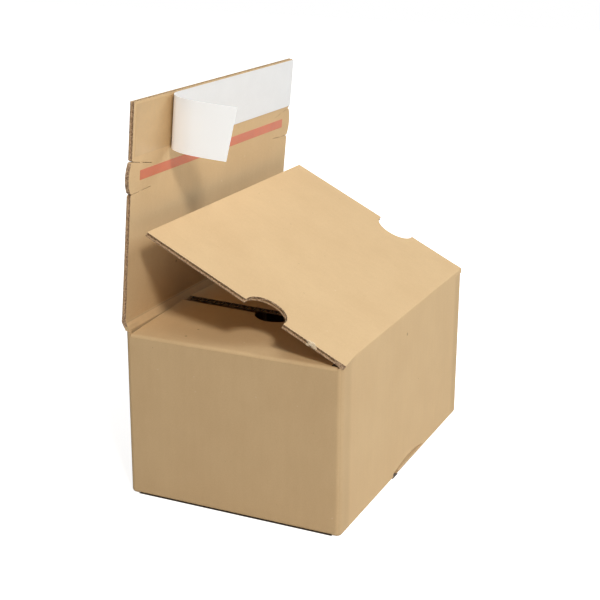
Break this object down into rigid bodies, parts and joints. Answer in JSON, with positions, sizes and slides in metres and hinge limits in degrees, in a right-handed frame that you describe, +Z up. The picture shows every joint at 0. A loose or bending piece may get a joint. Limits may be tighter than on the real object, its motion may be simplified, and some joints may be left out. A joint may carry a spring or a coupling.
{
  "type": "auto-bottom shipping carton",
  "caption": "Corrugated shipping carton with a self-locking bottom, a raised notched front lid and a tall closure flap with tear tape and peel-off adhesive.",
  "frame": {"origin": "centre of the base, on the surface that the carton stands on", "axes": "+X along the carton's length towards the far end wall, +Y from the lid's hinge at the front wall towards the closure flap's hinge at the back wall, +Z up"},
  "size_m": [0.244, 0.1627, 0.2759],
  "materials": {
    "kraft_board": "matte",
    "lid_board": "matte",
    "closure_board": "matte",
    "red_tape": "satin",
    "adhesive_film": "glossy",
    "liner_paper": "satin"
  },
  "bodies": {
    "carton": {"carton_body": "kraft_board"},
    "lid": {"front_lid": "lid_board"},
    "closure": {"closure_flap": "closure_board", "tear_tape": "red_tape", "adhesive_strip": "adhesive_film", "release_liner": "liner_paper"}
  },
  "joints": [
    {"name": "lid_fold", "type": "hinge", "parent": "carton", "child": "lid", "pos_m": [0, -0.08, 0.121], "axis": [1, 0, 0], "range_deg": [-24.7, 200]},
    {"name": "closure_fold", "type": "hinge", "parent": "carton", "child": "closure", "pos_m": [0, 0.08275, 0.12539], "axis": [1, 0, 0], "range_deg": [-148, 7]}
  ]
}
